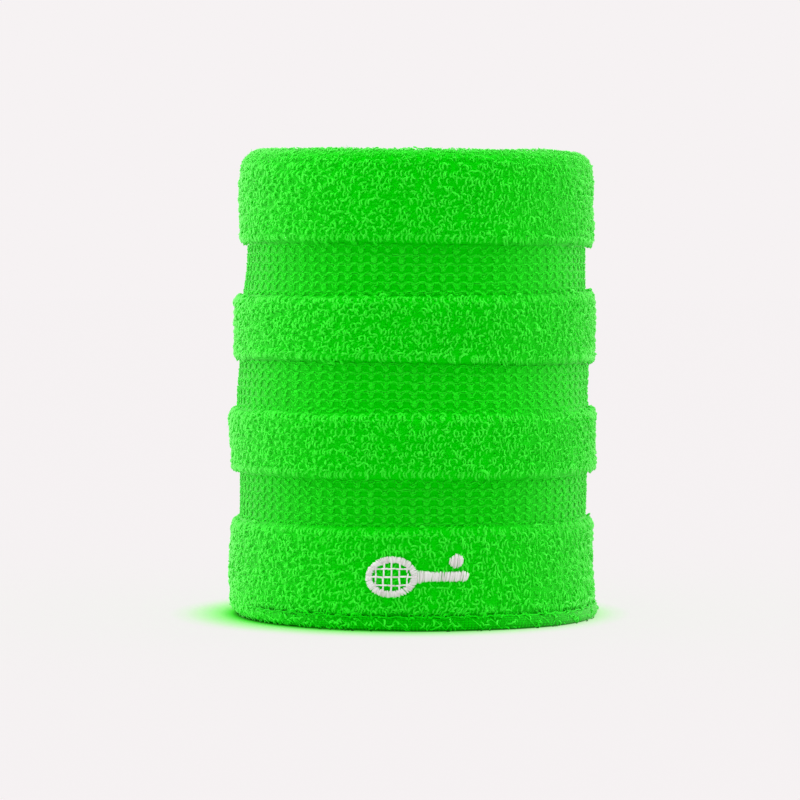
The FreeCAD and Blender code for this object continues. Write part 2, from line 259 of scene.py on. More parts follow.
lamps = [
    soft_light("left_light", (-0.60, 0.16, 0.16), 0.40, 0.50, 2.6),
    soft_light("right_light", (0.60, 0.16, 0.16), 0.40, 0.50, 2.2),
    soft_light("top_light", (0, -0.15, 0.62), 0.50, 0.30, 1.7),
]
print(len(lamps), "soft lights")

# %% [markdown]
# ## How the band stands
# Cloth is never as true as a drawing. The band leans a hair to one side, the borders of its zones rise and
# fall by a few tenths of a millimetre as they go round, each zone bulges or draws in a little, and the foot
# is a rounded square more than a circle at the front right. Every piece is made on the plain rings of the
# CAD first and then moved by one and the same rule, so neighbours stay together. A lattice or a simulation
# could do it, but two tables are exact: height, then how far a border is off at the left, front and right,
# or the wall at the left and right.


# %% Turning round the axis
def polar(points):
    """Turn about the band's axis, with 0 at the front, radius and height of each point."""
    x, y, z = np.asarray(points, float).T
    return np.arctan2(x, -y), np.hypot(x, y), z


def from_polar(turn, radius, height):
    return np.stack([radius * np.sin(turn), -radius * np.cos(turn), height], axis=1)


def directions(turn):
    """The ways outward, round the band and up at each turn."""
    round_it = np.stack([np.cos(turn), np.sin(turn), 0 * turn], axis=1)
    return from_polar(turn, 1, 0 * turn), round_it, np.tile([0, 0, 1.0], (len(turn), 1))


# %% Settling
LEAN = 0.0113
BAND_MIDDLE = 41.5
BORDER_WAVES = np.array([
    (0.0, 0.35, 0.00, 0.00), (2.9, -0.35, -0.25, -0.70), (8.0, -0.20, -0.10, -0.20),
    (16.9, -0.05, 0.06, -0.05), (25.2, 0.18, 0.44, -0.17), (35.9, 0.00, 0.23, 0.00),
    (44.4, 0.42, 0.67, -0.45), (55.9, -0.33, -0.22, 0.36), (64.5, 0.23, 0.46, -0.30),
    (80.8, 0.10, -0.05, -0.25),
])
SIDE_WAVES = np.array([
    (0.0, -1.50, -0.10), (1.5, -0.55, 0.15), (3.2, -0.02, 0.00), (6.0, 0.24, 0.15), (17.0, -0.18, -0.12),
    (22.0, -0.15, 0.15), (28.0, -0.13, 0.03), (35.5, 0.04, 0.05), (39.0, 0.24, -0.20), (44.5, 0.02, 0.00),
    (47.5, -0.26, -0.02), (55.0, 0.02, 0.10), (60.0, -0.33, 0.13), (67.5, -0.22, 0.06), (75.5, -0.30, 0.02),
    (78.3, -0.75, -0.35), (80.8, -1.40, -0.90),
])
CORNER_TURN = 0.95
CORNER_WIDTH = 0.50
CORNER_OUT = 1.9
CORNER_FADES = 12.0
SLACK = ((2, 0.10, 0.031), (3, 0.09, -0.047), (5, 0.06, 0.083), (9, 0.035, -0.13))
CALM_FOOT = 6
UNDER_FLOOR = 0.02


def settle(points):
    """Moves points, in mm, from the CAD's plain rings to how the soft band stands."""
    turn, radius, z = polar(points)
    left, front, right = (np.interp(z, BORDER_WAVES[:, 0], BORDER_WAVES[:, k]) for k in (1, 2, 3))
    middle = (left + right) / 2
    rise = middle + (right - left) / 2 * np.sin(turn) + (front - middle) * np.cos(turn)
    left, right = (np.interp(z, SIDE_WAVES[:, 0], SIDE_WAVES[:, k]) for k in (1, 2))
    swell = (left + right) / 2 + (right - left) / 2 * np.sin(turn)
    corner = np.exp(-((turn - CORNER_TURN) / CORNER_WIDTH) ** 2) * np.clip(1 - z / CORNER_FADES, 0, 1)
    swell = swell + CORNER_OUT * corner
    calm = np.clip(z / CALM_FOOT, 0, 1)
    for waves, size, drift in SLACK:
        swell = swell + calm * size * np.sin(waves * turn + drift * z * 6 + waves)
        rise = rise + calm * 0.8 * size * np.cos(waves * turn + 2.1 * waves + 0.05 * z)
    height = z + rise
    height = np.where(height < 0, height * UNDER_FLOOR, height)
    moved = from_polar(turn, radius + swell, height)
    moved[:, 0] += LEAN * (z - BAND_MIDDLE)
    return moved


print("front border of the top zone rises", round(settle([[0, -31, 64.5]])[0, 2] - 64.5, 2), "mm")


# %% Zones from the CAD
def points_of(piece):
    """A piece's vertices in mm."""
    flat = np.empty(len(piece.data.vertices) * 3)
    piece.data.vertices.foreach_get("co", flat)
    return flat.reshape(-1, 3) / MM


def zone_of(node):
    """Heights of a ring node, and its radii inside and outside at its foot and head, in mm."""
    turn, radius, height = polar(points_of(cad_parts[node]))
    low, high = height.min(), height.max()
    foot = height < (low + high) / 2
    return {
        "low": low,
        "high": high,
        "inner": (radius[foot].min(), radius[~foot].min()),
        "outer": (radius[foot].max(), radius[~foot].max()),
    }


TERRY_ZONES = ("terry_bottom", "terry_lower", "terry_upper", "terry_top")
KNIT_ZONES = ("knit_lower", "knit_middle", "knit_upper")
SIDES = ("outer", "inner")
zones = {side + "_" + name: zone_of(side + "_" + name) for side in SIDES for name in TERRY_ZONES + KNIT_ZONES}
fold = zone_of("top_fold")
lip = zone_of("closing_seam_lip")
FOLD_MIDDLE = (fold["inner"][0] + fold["outer"][0]) / 2
FOLD_REACH = (fold["outer"][0] - fold["inner"][0]) / 2
FOLD_FOOT = fold["low"]
for name, zone in [*zones.items(), ("top_fold", fold), ("lip", lip)]:
    print(name, {key: np.round(value, 2).tolist() for key, value in zone.items()})

# %% [markdown]
# ## Neon green
# The cotton is dyed a fluorescent green: almost no red or blue comes back from it, the gaps between the
# yarns fill with green light, and a soft white bloom lies on the fibres that stand across the view. One
# flat green would look like plastic. So the colour is a ramp of painted shade and painted highlight, from a
# deep, pure green at the root of a loop to a lighter, whiter one at its tip, each loop has a tone of its
# own, and a pale layer is a painted sheen of the fuzz where the cloth turns away. Painted shade also
# darkens the yarn near the floor, in the crease and beside the terry borders, and most yarns give off a
# weak painted green glow. The plain knit is smoother, so it has a purer green, no painted glow and less
# painted sheen. Fine noise in bump stands for single fibres.

# %% Green dye
# Painted sheen: a pale layer, mixed in by how far the cloth turns from the view, for the light that fuzz
# throws back.
PAINTED_FUZZ_SHEEN = 0.42
PAINTED_FUZZ_SHEEN_FALL = 1.9
PAINTED_FUZZ_SHEEN_COLOUR = (0.50, 0.95, 0.44, 1)
# Painted shade near the floor, between these heights in m, and the colour that all painted shade falls
# towards.
FLOOR_CLEARANCE = (0.0001, 0.0011)
FLOOR_SHADE = (0.000, 0.16, 0.000)
# Painted shade green for roots and hollows, the yarn's own green, and a whiter painted highlight green for
# tips.
PAINTED_SHADE_GREEN = (0.000, 0.70, 0.000)
BODY = (0.003, 0.82, 0.003)
PAINTED_HIGHLIGHT_GREEN = (0.055, 0.96, 0.045)
# Colour of the painted green glow that the yarns give off.
PAINTED_GLOW_COLOUR = (0.0, 1.0, 0.0, 1)


def dyed(look, level, stops, painted_glow, painted_sheen_share=PAINTED_FUZZ_SHEEN):
    """Neon green from deep to bright on level, with painted shade, a painted glow and a painted fibre sheen.
    """
    # Painted shade near the floor: in the lowest millimetre the colour falls towards FLOOR_SHADE.
    height = look.node("SeparateXYZ", {"Vector": look.place()}).outputs["Z"]
    low, high = FLOOR_CLEARANCE
    clear = look.node("MapRange", {"Value": height}, From_Min=low, From_Max=high).outputs["Result"]
    # The shade attribute is painted shade kept at each vertex; it also dims the painted glow.
    shade = look.math("MULTIPLY", clear, look.attribute("shade"))
    look.feed(look.ramp(look.math("MULTIPLY", level, shade), ((0.0, FLOOR_SHADE), *stops)), "Base Color")
    # Painted glow: the yarn lights itself a little, less where it has painted shade.
    look.feed(look.math("MULTIPLY", shade, painted_glow), "Emission Strength")
    # Painted sheen: the pale layer is mixed in where the cloth's facing turns away from the view.
    cloth = look.node("Attribute", attribute_name="stands").outputs["Vector"]
    facing = look.node("LayerWeight", {"Normal": cloth}, Blend=0.5).outputs["Facing"]
    amount = look.math("MULTIPLY", look.math("POWER", facing, PAINTED_FUZZ_SHEEN_FALL), painted_sheen_share)
    painted_fuzz_sheen = look.node("BsdfDiffuse", Color=PAINTED_FUZZ_SHEEN_COLOUR)
    look.show(look.node("MixShader", {0: amount, 1: look.shader.outputs[0], 2: painted_fuzz_sheen.outputs[0]}))
    return look.material


print("green dye ready")

# %% Green yarns
PATCH_SHARE = 0.25
FIBRE_SHARE = 0.50


def green_yarn(name, stops, fibre, tone_share=0.35, painted_glow=0.10, painted_sheen_share=PAINTED_FUZZ_SHEEN):
    """Neon green yarn: depth, root to tip, gives painted shade and highlight, and tone one per loop or
    stitch.
    """
    look = Surface(
        name,
        Roughness=0.9,
        Specular_IOR_Level=0.05,
        Sheen_Weight=0.10,
        Sheen_Roughness=0.5,
        Sheen_Tint=(0.5, 1.0, 0.45, 1),
        Emission_Color=PAINTED_GLOW_COLOUR,
    )
    fibres = look.noise(fibre, 3.0)
    # The level mixes each loop's own tone with its depth, which is painted shade and highlight, and with
    # noise.
    mixed = look.math("MULTIPLY_ADD", look.attribute("tone"), tone_share, look.attribute("depth"))
    mixed = look.math("MULTIPLY_ADD", look.noise(140.0), PATCH_SHARE, mixed)
    mixed = look.math("MULTIPLY_ADD", fibres, FIBRE_SHARE, mixed)
    level = look.math("MULTIPLY", mixed, 1 / (1.50 + tone_share))
    look.bump(fibres, 0.00006, 0.5)
    return dyed(look, level, stops, painted_glow, painted_sheen_share)


# The plain knit's own green and its painted highlight.
KNIT_BODY = (0.001, 0.80, 0.001)
KNIT_PAINTED_HIGHLIGHT_GREEN = (0.020, 0.93, 0.016)
KNIT_STOPS = ((0.15, PAINTED_SHADE_GREEN), (0.55, KNIT_BODY), (0.95, KNIT_PAINTED_HIGHLIGHT_GREEN))
terry_green = green_yarn("terry_green", ((0.15, PAINTED_SHADE_GREEN), (0.5, BODY), (0.85, PAINTED_HIGHLIGHT_GREEN)), 4500.0)
knit_green = green_yarn("knit_green", KNIT_STOPS, 4000.0, 0.45, 0.0, 0.28)
thread_green = green_yarn("thread_green", ((0.1, PAINTED_SHADE_GREEN), (0.5, BODY), (0.9, PAINTED_HIGHLIGHT_GREEN)), 12000.0)
print("green yarns ready")

# %% Ground knit
STITCH_ROUND = 0.95
STITCH_UP = 0.7

ground = Surface("ground_knit_green", Roughness=0.95, Specular_IOR_Level=0.05, Emission_Color=PAINTED_GLOW_COLOUR)
stitch = ground.node("UVMap", uv_map="knit").outputs["UV"]
scale = (1 / STITCH_ROUND, 1 / STITCH_UP, 1)
cells = ground.node("Mapping", {"Vector": stitch}, Scale=scale).outputs["Vector"]
wales = ground.node("TexWave", {"Vector": cells}, bands_direction="X", Scale=0.5, Distortion=1.0)
rows = ground.node("TexWave", {"Vector": cells}, bands_direction="Y", Scale=0.5, Distortion=1.5)
relief = ground.math("MULTIPLY", wales.outputs["Fac"], rows.outputs["Fac"])
relief = ground.math("MULTIPLY_ADD", ground.noise(6000.0, 3.0), 0.4, relief)
ground.bump(relief, 0.0002, 0.7)
# Painted shade in the stitch hollows: low parts of the relief get a dark painted shade green, high ones the
# own green.
ground_knit = dyed(ground, relief, ((0.1, (0.0, 0.64, 0.0)), (0.6, PAINTED_SHADE_GREEN), (1.0, BODY)), 0.09)
print("ground knit ready")

# %% [markdown]
# ## From a primitive to a piece
# Everything round on the band is a small section spun about the axis. It could be a bent grid, but spinning
# gives clean loops of faces all the way. A shape that repeats is modelled once, read as points and faces,
# and its object is removed. Each vertex keeps its painted shade, as how much light is taken to reach it,
# and which way the cloth faces there, for the finishes.


# %% Modelling helpers
def begin(name, add, **settings):
    """Adds a primitive, with nothing else selected, and applies its place."""
    bpy.ops.object.select_all(action="DESELECT")
    add(**settings)
    piece = bpy.context.object
    piece.name = name
    piece.data.name = name
    bpy.ops.object.transform_apply(location=True, rotation=True, scale=True)
    return piece


def close_up(*, weld):
    """In edit mode, merges doubles if asked, turns the faces outwards and leaves edit mode."""
    bpy.ops.mesh.select_all(action="SELECT")
    if weld:
        bpy.ops.mesh.remove_doubles(threshold=0.001 * MM)
    bpy.ops.mesh.normals_make_consistent(inside=False)
    bpy.ops.object.mode_set(mode="OBJECT")


def spin_round(steps):
    """Spins the section in hand once round the axis to a closed ring."""
    bpy.ops.object.mode_set(mode="EDIT")
    bpy.ops.mesh.select_all(action="SELECT")
    bpy.ops.mesh.spin(steps=steps, angle=math.tau, center=(0, 0, 0), axis=(0, 0, 1))
    close_up(weld=True)


def pick_long_edges(piece, shortest):
    """In edit mode, selects only the edges of piece longer than shortest, in mm."""
    bpy.ops.object.mode_set(mode="EDIT")
    bpy.ops.mesh.select_mode(type="EDGE")
    bpy.ops.mesh.select_all(action="DESELECT")
    bpy.ops.object.mode_set(mode="OBJECT")
    at = points_of(piece)
    for edge in piece.data.edges:
        start, end = edge.vertices
        edge.select = bool(np.linalg.norm(at[start] - at[end]) > shortest)
    bpy.ops.object.mode_set(mode="EDIT")


def taken(piece):
    """Reads a modelled shape as points in mm and faces, and removes its object."""
    at = points_of(piece)
    faces = [tuple(p.vertices) for p in piece.data.polygons]
    mesh = piece.data
    bpy.data.objects.remove(piece)
    bpy.data.meshes.remove(mesh)
    return at, faces


def put_points(piece, points):
    piece.data.vertices.foreach_set("co", (np.asarray(points) * MM).ravel())
    piece.data.update()


# %% What a vertex keeps
def keep(piece, label, values):
    """Keeps one number, or one direction, at every vertex."""
    values = np.asarray(values, float)
    kind, field = ("FLOAT", "value") if values.ndim == 1 else ("FLOAT_VECTOR", "vector")
    piece.data.attributes.new(label, kind, "POINT").data.foreach_set(field, values.ravel())


def radial_of(points):
    return directions(polar(points)[0])[0]


# Painted shade: a darker crease over the lip, none of it at the far left, darker strips on the plain knit
# under and over each terry border, and darker tube behind the plain knit.
CREASE_HEIGHT = lip["high"]
CREASE_WIDTH = 0.45
CREASE_SHADE = 0.75
CREASE_ROUND = ((-1.15, -0.85, 0.1, 0.5, 1.6), (0.0, 1.0, 0.8, 0.6, 0.7))
BORDER_WIDTH = 0.75
UNDER_BORDER = 0.40
OVER_BORDER = 0.20
POCKET_SHADE = 0.62


def shade_at(points):
    """Painted shade of the outside, 0 to 1: less light in the crease and beside the terry borders."""
    turn, radius, z = polar(points)
    crease = CREASE_SHADE * np.interp(turn, *CREASE_ROUND)
    open_to_light = 1 - crease * np.exp(-((z - CREASE_HEIGHT) / CREASE_WIDTH) ** 2)
    for name in KNIT_ZONES:
        zone = zones["outer_" + name]
        for edge, share in ((zone["high"], UNDER_BORDER), (zone["low"], OVER_BORDER)):
            within = (z > zone["low"] - 0.1) & (z < zone["high"] + 0.1)
            open_to_light = open_to_light * (1 - share * within * np.exp(-((z - edge) / BORDER_WIDTH) ** 2))
    return np.where(radius > FOLD_MIDDLE, open_to_light, 1.0)


def behind_knit(points):
    """The tube's painted shade: darker where it lies behind the yarns of the plain knit."""
    height = np.asarray(points, float)[:, 2]
    behind = np.zeros(len(height))
    for name in KNIT_ZONES:
        zone = zones["outer_" + name]
        behind = np.maximum(behind, (height > zone["low"]) & (height < zone["high"]))
    return shade_at(points) * (1 - (1 - POCKET_SHADE) * behind)


# %% Unrolling and dressing
UNROLLED_RADIUS = 30


def unroll(piece):
    """A UV map in mm of cloth: round the band, and up it."""
    mesh = piece.data
    turn, radius, height = polar(points_of(piece))
    corners = np.empty(len(mesh.loops), int)
    mesh.loops.foreach_get("vertex_index", corners)
    sizes = np.empty(len(mesh.polygons), int)
    mesh.polygons.foreach_get("loop_total", sizes)
    owner = np.repeat(np.arange(len(sizes)), sizes)
    first = np.concatenate(([0], np.cumsum(sizes)[:-1]))
    here = turn[corners]
    start = here[first][owner]
    here = np.where(here - start > math.pi, here - math.tau, here)
    here = np.where(here - start < -math.pi, here + math.tau, here)
    uv = np.stack([here * UNROLLED_RADIUS, height[corners]], axis=1)
    mesh.uv_layers.new(name="knit").data.foreach_set("uv", uv.ravel())


def dress(piece, material, stands_for=()):
    """The last steps of every piece: smooth faces, finish, body, and the CAD nodes that it stands for."""
    piece.data.materials.clear()
    piece.data.materials.append(material)
    piece.data.polygons.foreach_set("use_smooth", [True] * len(piece.data.polygons))
    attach(piece, "root")
    if stands_for:
        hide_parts(*stands_for)
    return piece


print("modelling helpers ready")

# %% [markdown]
# ## One tube of ground knit
# The ground is one continuous tube of knit, folded in half over itself: up the outside, over the top and
# down the inside. It swells a little under each zone of terry and draws in under the plain knit, where only
# elastic and yarn are left. Two tubes, one in the other, would show a gap at the top. So a circle with one
# vertex for every step of the cloth's outline is laid along that outline, then spun.

# %% Outline of the tube
PILE = 0.56
FOLD_PILE = 0.36
KNIT_YARN_DEPTH = 0.42
SHOULDER = 0.25
STEP = 0.8
ORDER = ("terry_bottom", "knit_lower", "terry_lower", "knit_middle", "terry_upper", "knit_upper", "terry_top")
TUBE_FOOT = zones["outer_terry_bottom"]["low"]


def face_line(side, face, sunk):
    """Heights and radii of one face of a layer, going up. sunk is how far terry and knit stand back."""
    heights, radii = [], []
    for name in ORDER:
        zone = zones[side + "_" + name]
        back = sunk[0] if name.startswith("terry") else sunk[1]
        heights += [zone["low"] + SHOULDER, zone["high"] - SHOULDER]
        radii += [zone[face][0] + back, zone[face][1] + back]
    return np.array(heights), np.array(radii)


def along(line, heights):
    return [(float(np.interp(z, *line)), float(z)) for z in heights]


fine = np.linspace(TUBE_FOOT, FOLD_FOOT, round((FOLD_FOOT - TUBE_FOOT) / STEP))
coarse = np.linspace(TUBE_FOOT, FOLD_FOOT, 20)
small = (zones["outer_terry_top"]["inner"][1] - zones["inner_terry_top"]["outer"][1]) / 2
outline = along(face_line("outer", "outer", (-PILE, -KNIT_YARN_DEPTH)), fine)
for a in np.linspace(0, math.pi, 15)[1:-1]:
    reach = FOLD_REACH - PILE + (PILE - FOLD_PILE) * math.sin(a)
    outline.append((FOLD_MIDDLE + reach * math.cos(a), FOLD_FOOT + reach * math.sin(a)))
outline += along(face_line("inner", "inner", (PILE, KNIT_YARN_DEPTH)), fine[::-1])
outline += along(face_line("inner", "outer", (0, 0)), coarse)
for a in np.linspace(0, math.pi, 6)[1:-1]:
    outline.append((FOLD_MIDDLE - small * math.cos(a), FOLD_FOOT + small * math.sin(a)))
outline += along(face_line("outer", "inner", (0, 0)), coarse[::-1])
print("outline of", len(outline), "steps")

# %% Tube
TUBE_TURNS = 160

tube = begin("folded_tube_ground", bpy.ops.mesh.primitive_circle_add, vertices=len(outline), radius=10 * MM)
put_points(tube, [(r, 0, z) for r, z in outline])
spin_round(TUBE_TURNS)
unroll(tube)
at = points_of(tube)
rise = np.clip((at[:, 2] - FOLD_FOOT) / FOLD_REACH, 0, 1)[:, None]
keep(tube, "stands", radial_of(at) * np.sqrt(1 - rise ** 2) + rise * np.array([0, 0, 1.0]))
# Painted shade on the tube: in the crease, beside the terry borders and behind the plain knit.
keep(tube, "shade", behind_knit(at))
put_points(tube, settle(at))
dress(tube, ground_knit)
print("tube of", len(tube.data.polygons), "faces, fold at radius", round(FOLD_MIDDLE, 2))

# %% [markdown]
# ## One terry loop
# A terry loop is a short arch of soft yarn, pulled up out of the ground and curled over by its own twist,
# so from the front it shows as a C or a hook. It could be a curve with a round section, but one small
# circle spun most of the way round, with a little screw in it, has far fewer faces. A few variants come
# from other amounts of turn, screw and stretch. Thousands of copies are planted. A thin cone stands for a
# loose fibre between them.

# %% Loop variants
YARN = 0.16
LOOP = 0.42
YARN_SIDES = 3


def take_shape(piece):
    """A modelled shape's points, faces and depth, from 0 at its root to 1 at its tip."""
    at, faces = taken(piece)
    at[:, 2] -= at[:, 2].min()
    return at, faces, at[:, 2] / at[:, 2].max()


def curled_loop(name, steps, turn, screw, wide, tall):
    """One loop in its own axes, in mm: X is its width, Z its height over its root, Y its twist."""
    start = math.radians(90 + turn / 2)
    place = (LOOP * MM * math.cos(start), 0, LOOP * MM * math.sin(start))
    lying = (0, math.pi / 2 - start - math.pi / 2, 0)
    add = bpy.ops.mesh.primitive_circle_add
    piece = begin(name, add, vertices=YARN_SIDES, radius=YARN * MM, location=place, rotation=lying)
    bpy.ops.object.mode_set(mode="EDIT")
    bpy.ops.mesh.select_all(action="SELECT")
    bpy.ops.mesh.spin(steps=steps, angle=math.radians(turn), center=(0, 0, 0), axis=(0, 1, 0))
    bpy.ops.mesh.select_all(action="SELECT")
    bpy.ops.mesh.fill_holes(sides=0)
    bpy.ops.mesh.select_all(action="SELECT")
    bpy.ops.mesh.normals_make_consistent(inside=False)
    bpy.ops.transform.resize(value=(wide, 1, tall))
    bpy.ops.object.mode_set(mode="OBJECT")
    at = points_of(piece)
    at[:, 1] += screw * np.arctan2(at[:, 0], at[:, 2]) / math.radians(turn)
    put_points(piece, at)
    return take_shape(piece)


loop_shapes = [
    curled_loop("loop_round", 7, 280, 0.20, 1.2, 1.10),
    curled_loop("loop_tall", 7, 260, 0.30, 1.1, 1.25),
    curled_loop("loop_wide", 7, 290, 0.15, 1.4, 1.00),
    curled_loop("loop_hook", 6, 230, 0.40, 1.2, 1.20),
]
plain_loops = [
    curled_loop("plain_loop", 7, 295, 0.3, 1.25, 1.35),
    curled_loop("plain_tall", 7, 280, 0.5, 1.15, 1.55),
]
fibre = begin("fibre", bpy.ops.mesh.primitive_cone_add, vertices=3, radius1=0.035 * MM, depth=1.1 * MM)
fibre_shape = take_shape(fibre)
for at, faces, depth in loop_shapes:
    print("a loop of", len(faces), "faces, mm", np.round(at.max(0) - at.min(0), 2))


# %% Planting copies
def joined(parts):
    """Joins parts of (points, arrays of faces, depth, tone, way out) to one."""
    starts = np.cumsum([0] + [len(part[0]) for part in parts])
    faces = [block + start for part, start in zip(parts, starts) for block in part[1]]
    points, depth, tone, stands = (np.concatenate([part[k] for part in parts]) for k in (0, 2, 3, 4))
    return points, faces, depth, tone, stands


def copies(shapes, which, origins, axes, scales, outs):
    """Copies of shapes. axes holds each copy's three directions as rows, outs the way the cloth faces."""
    tones = np.random.default_rng(len(origins)).random(len(origins))
    parts = []
    for number, (at, shape_faces, shape_depth) in enumerate(shapes):
        chosen = np.flatnonzero(which == number)
        if not len(chosen):
            continue
        local = at[None, :, :] * scales[chosen, None, :]
        placed = np.einsum("mpk,mkj->mpj", local, axes[chosen]) + origins[chosen, None, :]
        blocks = []
        for size in sorted({len(f) for f in shape_faces}):
            block = np.array([f for f in shape_faces if len(f) == size])
            offsets = np.arange(len(chosen)) * len(at)
            blocks.append((block[None] + offsets[:, None, None]).reshape(-1, size))
        depth, tone = np.tile(shape_depth, len(chosen)), np.repeat(tones[chosen], len(at))
        parts.append((placed.reshape(-1, 3), blocks, depth, tone, np.repeat(outs[chosen], len(at), axis=0)))
    return joined(parts)


def mesh_piece(name, points, faces, depth, tone, stands):
    """A piece from points in mm on the plain rings and arrays of faces, each with one number of corners."""
    mesh = bpy.data.meshes.new(name)
    mesh.vertices.add(len(points))
    mesh.vertices.foreach_set("co", (settle(points) * MM).ravel())
    corners = np.concatenate([f.ravel() for f in faces])
    sizes = np.concatenate([np.full(len(f), f.shape[1]) for f in faces])
    mesh.loops.add(len(corners))
    mesh.loops.foreach_set("vertex_index", corners)
    mesh.polygons.add(len(sizes))
    mesh.polygons.foreach_set("loop_start", np.concatenate(([0], np.cumsum(sizes)[:-1])))
    mesh.polygons.foreach_set("loop_total", sizes)
    mesh.update(calc_edges=True)
    mesh.validate()
    piece = bpy.data.objects.new(name, mesh)
    # Every piece keeps painted shade from shade_at, besides depth, tone and the way the cloth faces.
    for label, values in (("depth", depth), ("tone", tone), ("shade", shade_at(points)), ("stands", stands)):
        keep(piece, label, values)
    bpy.context.scene.collection.objects.link(piece)
    return piece


def triangles(piece):
    return sum(len(p.vertices) - 2 for p in piece.data.polygons)


print("copying helpers ready")

# %% [markdown]
# ## Planting the terry
# The loops stand in courses, one row of loops per turn of the knitting. Inside a zone they lean every way
# and wander a little off their course. The last course at each border has nothing beside it to hold it up:
# its loops are fuller, lie over the edge and show side by side, like a row of brackets. Hair particles
# could plant them, but they know nothing of courses. A course is given by its place on the zone's section,
# the direction in which it stands out, its pitch, how tidy it is and the size of its loops. All draws are
# seeded, so every run gives the same band.

# %% One course of loops
OFF_PITCH = 0.16
WANDER = ((7, 0.20), (17, 0.10))
UNEVEN_UP = 0.13
LYING = 0.55
FALLEN = (1.35, 0.45)
SWING = (0.55, 0.35)
CURL_OVER = (0.95, 0.15)
CURL_SPREAD = (0.16, 0.06)
UNEVEN_SIZE = 0.10
SUNK = 0.06


def one_course(random, course, kinds, spare, press):
    """Origins, directions, sizes, kinds and ways out of the loops of one course."""
    radius, height, out, pitch, tidy, size = course
    count = max(8, round(math.tau * radius / pitch))
    turn = (np.arange(count) + random.uniform(0, 1)) * math.tau / count
    turn = turn + random.normal(0, OFF_PITCH * pitch * (1 - 0.5 * tidy), count) / radius
    wander = sum(far * np.sin(turn * waves + random.uniform(0, 6)) for waves, far in WANDER)
    up = (1 - 0.6 * tidy) * (wander + random.normal(0, UNEVEN_UP, count))
    radial, round_it, rise = directions(turn)
    stand = math.cos(out) * radial + math.sin(out) * rise
    along = -math.sin(out) * radial + math.cos(out) * rise
    lying = random.random(count) < LYING * (1 - tidy)
    upright = SWING[0] - SWING[1] * tidy
    swing = np.where(lying, random.normal(*FALLEN, count), random.normal(0, upright, count))
    width = np.cos(swing)[:, None] * along + np.sin(swing)[:, None] * round_it
    lean = random.normal(CURL_OVER[0] - CURL_OVER[1] * tidy, CURL_SPREAD[0] - CURL_SPREAD[1] * tidy, count)
    lean = lean * np.where(random.random(count) < 0.5 + 0.5 * tidy, 1.0, -1.0)
    tall = np.cos(lean)[:, None] * stand + np.sin(lean)[:, None] * np.cross(stand, width)
    big = size * random.normal(1.0, UNEVEN_SIZE, count)
    down = 2.1 * LOOP * big * np.cos(lean) + YARN
    sunk = np.abs(random.normal(0, SUNK, count)) + down
    base = radius * radial + height * rise + up[:, None] * along - sunk[:, None] * stand
    if press is not None:
        base = base - press(base)[:, None] * stand
    chosen = np.ones(count, bool) if spare is None else spare(base)
    axes = np.stack([width, np.cross(tall, width), tall], axis=1)
    kind = random.integers(0, kinds, count)
    return [part[chosen] for part in (base, axes, np.repeat(big[:, None], 3, axis=1), kind, stand)]


# %% Loose fibres and whole zones
FIBRES_PER_LOOP = 1.0
LYING_FLAT = 0.88
FIBRE_OFF = 0.4
FIBRE_UP = 0.58
FIBRE_SIZES = (0.6, 1.2)


def loose_fibres(random, base, scales, stand, kind):
    """Fibres among the loops at base, most of them lying flat on the cloth."""
    many = round(FIBRES_PER_LOOP * len(base))
    nearby = random.integers(0, len(base), many)
    base, stand, big = base[nearby], stand[nearby], scales[nearby]
    rough = random.normal(0, 1, (many, 3))
    rough = rough - LYING_FLAT * np.sum(rough * stand, axis=1)[:, None] * stand
    tall = rough / np.linalg.norm(rough, axis=1)[:, None]
    width = np.cross(tall, stand)
    width = width / np.linalg.norm(width, axis=1)[:, None]
    off = random.normal(0, FIBRE_OFF, (many, 3)) * (1 - np.abs(stand))
    origins = base + off + FIBRE_UP * big * stand - 0.5 * tall
    axes = np.stack([width, np.cross(tall, width), tall], axis=1)
    sizes = np.repeat(random.uniform(*FIBRE_SIZES, (many, 1)), 3, axis=1)
    return origins, axes, sizes, np.full(many, kind), stand


def plant(name, courses, shapes, seed, spare=None, press=None):
    """Plants loops in courses of (radius, height, angle that they stand out at, pitch, tidy, size), in mm."""
    random = np.random.default_rng(seed)
    parts = [one_course(random, course, len(shapes), spare, press) for course in courses]
    base, axes, scales, which, stand = (np.concatenate(part) for part in zip(*parts))
    parts.append(loose_fibres(random, base, scales, stand, len(shapes)))
    origins, axes, scales, which, outs = (np.concatenate(part) for part in zip(*parts))
    piece = mesh_piece(name, *copies([*shapes, fibre_shape], which, origins, axes, scales, outs))
    print(name, len(which), "loops and fibres,", triangles(piece), "triangles")
    return piece


# %% Courses of a zone
COURSE = 1.22
PITCH = 0.58
TIDY = 0.60
EDGE_START = 0.45
EDGE_TILT = 0.45
EDGE_BACK = 0.34
EDGE_PITCH = 0.80
EDGE_TIDY = 0.85
EDGE_SIZE = 1.20


def zone_courses(zone, side, borders, course, pitch):
    """The courses of a terry zone. borders says whether its foot and its head lie beside plain knit."""
    low, high = zone["low"], zone["high"]
    sign, out = (1, 0.0) if side == "outer" else (-1, math.pi)
    starts, ends = (EDGE_START if border else course / 2 for border in borders)
    count = round((high - low - starts - ends) / course)
    courses = []
    for level in range(count + 1):
        height = low + starts + (high - low - starts - ends) * level / count
        radius = np.interp(height, (low, high), zone[side])
        if (borders[0] and level == 0) or (borders[1] and level == count):
            tilt = sign * (-EDGE_TILT if level == 0 else EDGE_TILT)
            radius -= sign * EDGE_BACK
            courses.append((radius, height, out + tilt, pitch * EDGE_PITCH, EDGE_TIDY, EDGE_SIZE))
        else:
            courses.append((radius, height, out, pitch, TIDY, 1.0))
    return courses


print("planting helpers ready")

# %% [markdown]
# ## Room for the embroidery
# Where the stitches go, the loops are sewn down. The embroidered racket's outlines come from the CAD nodes:
# no loop stands under a stitched part, and between the strings the loops are pressed lower.


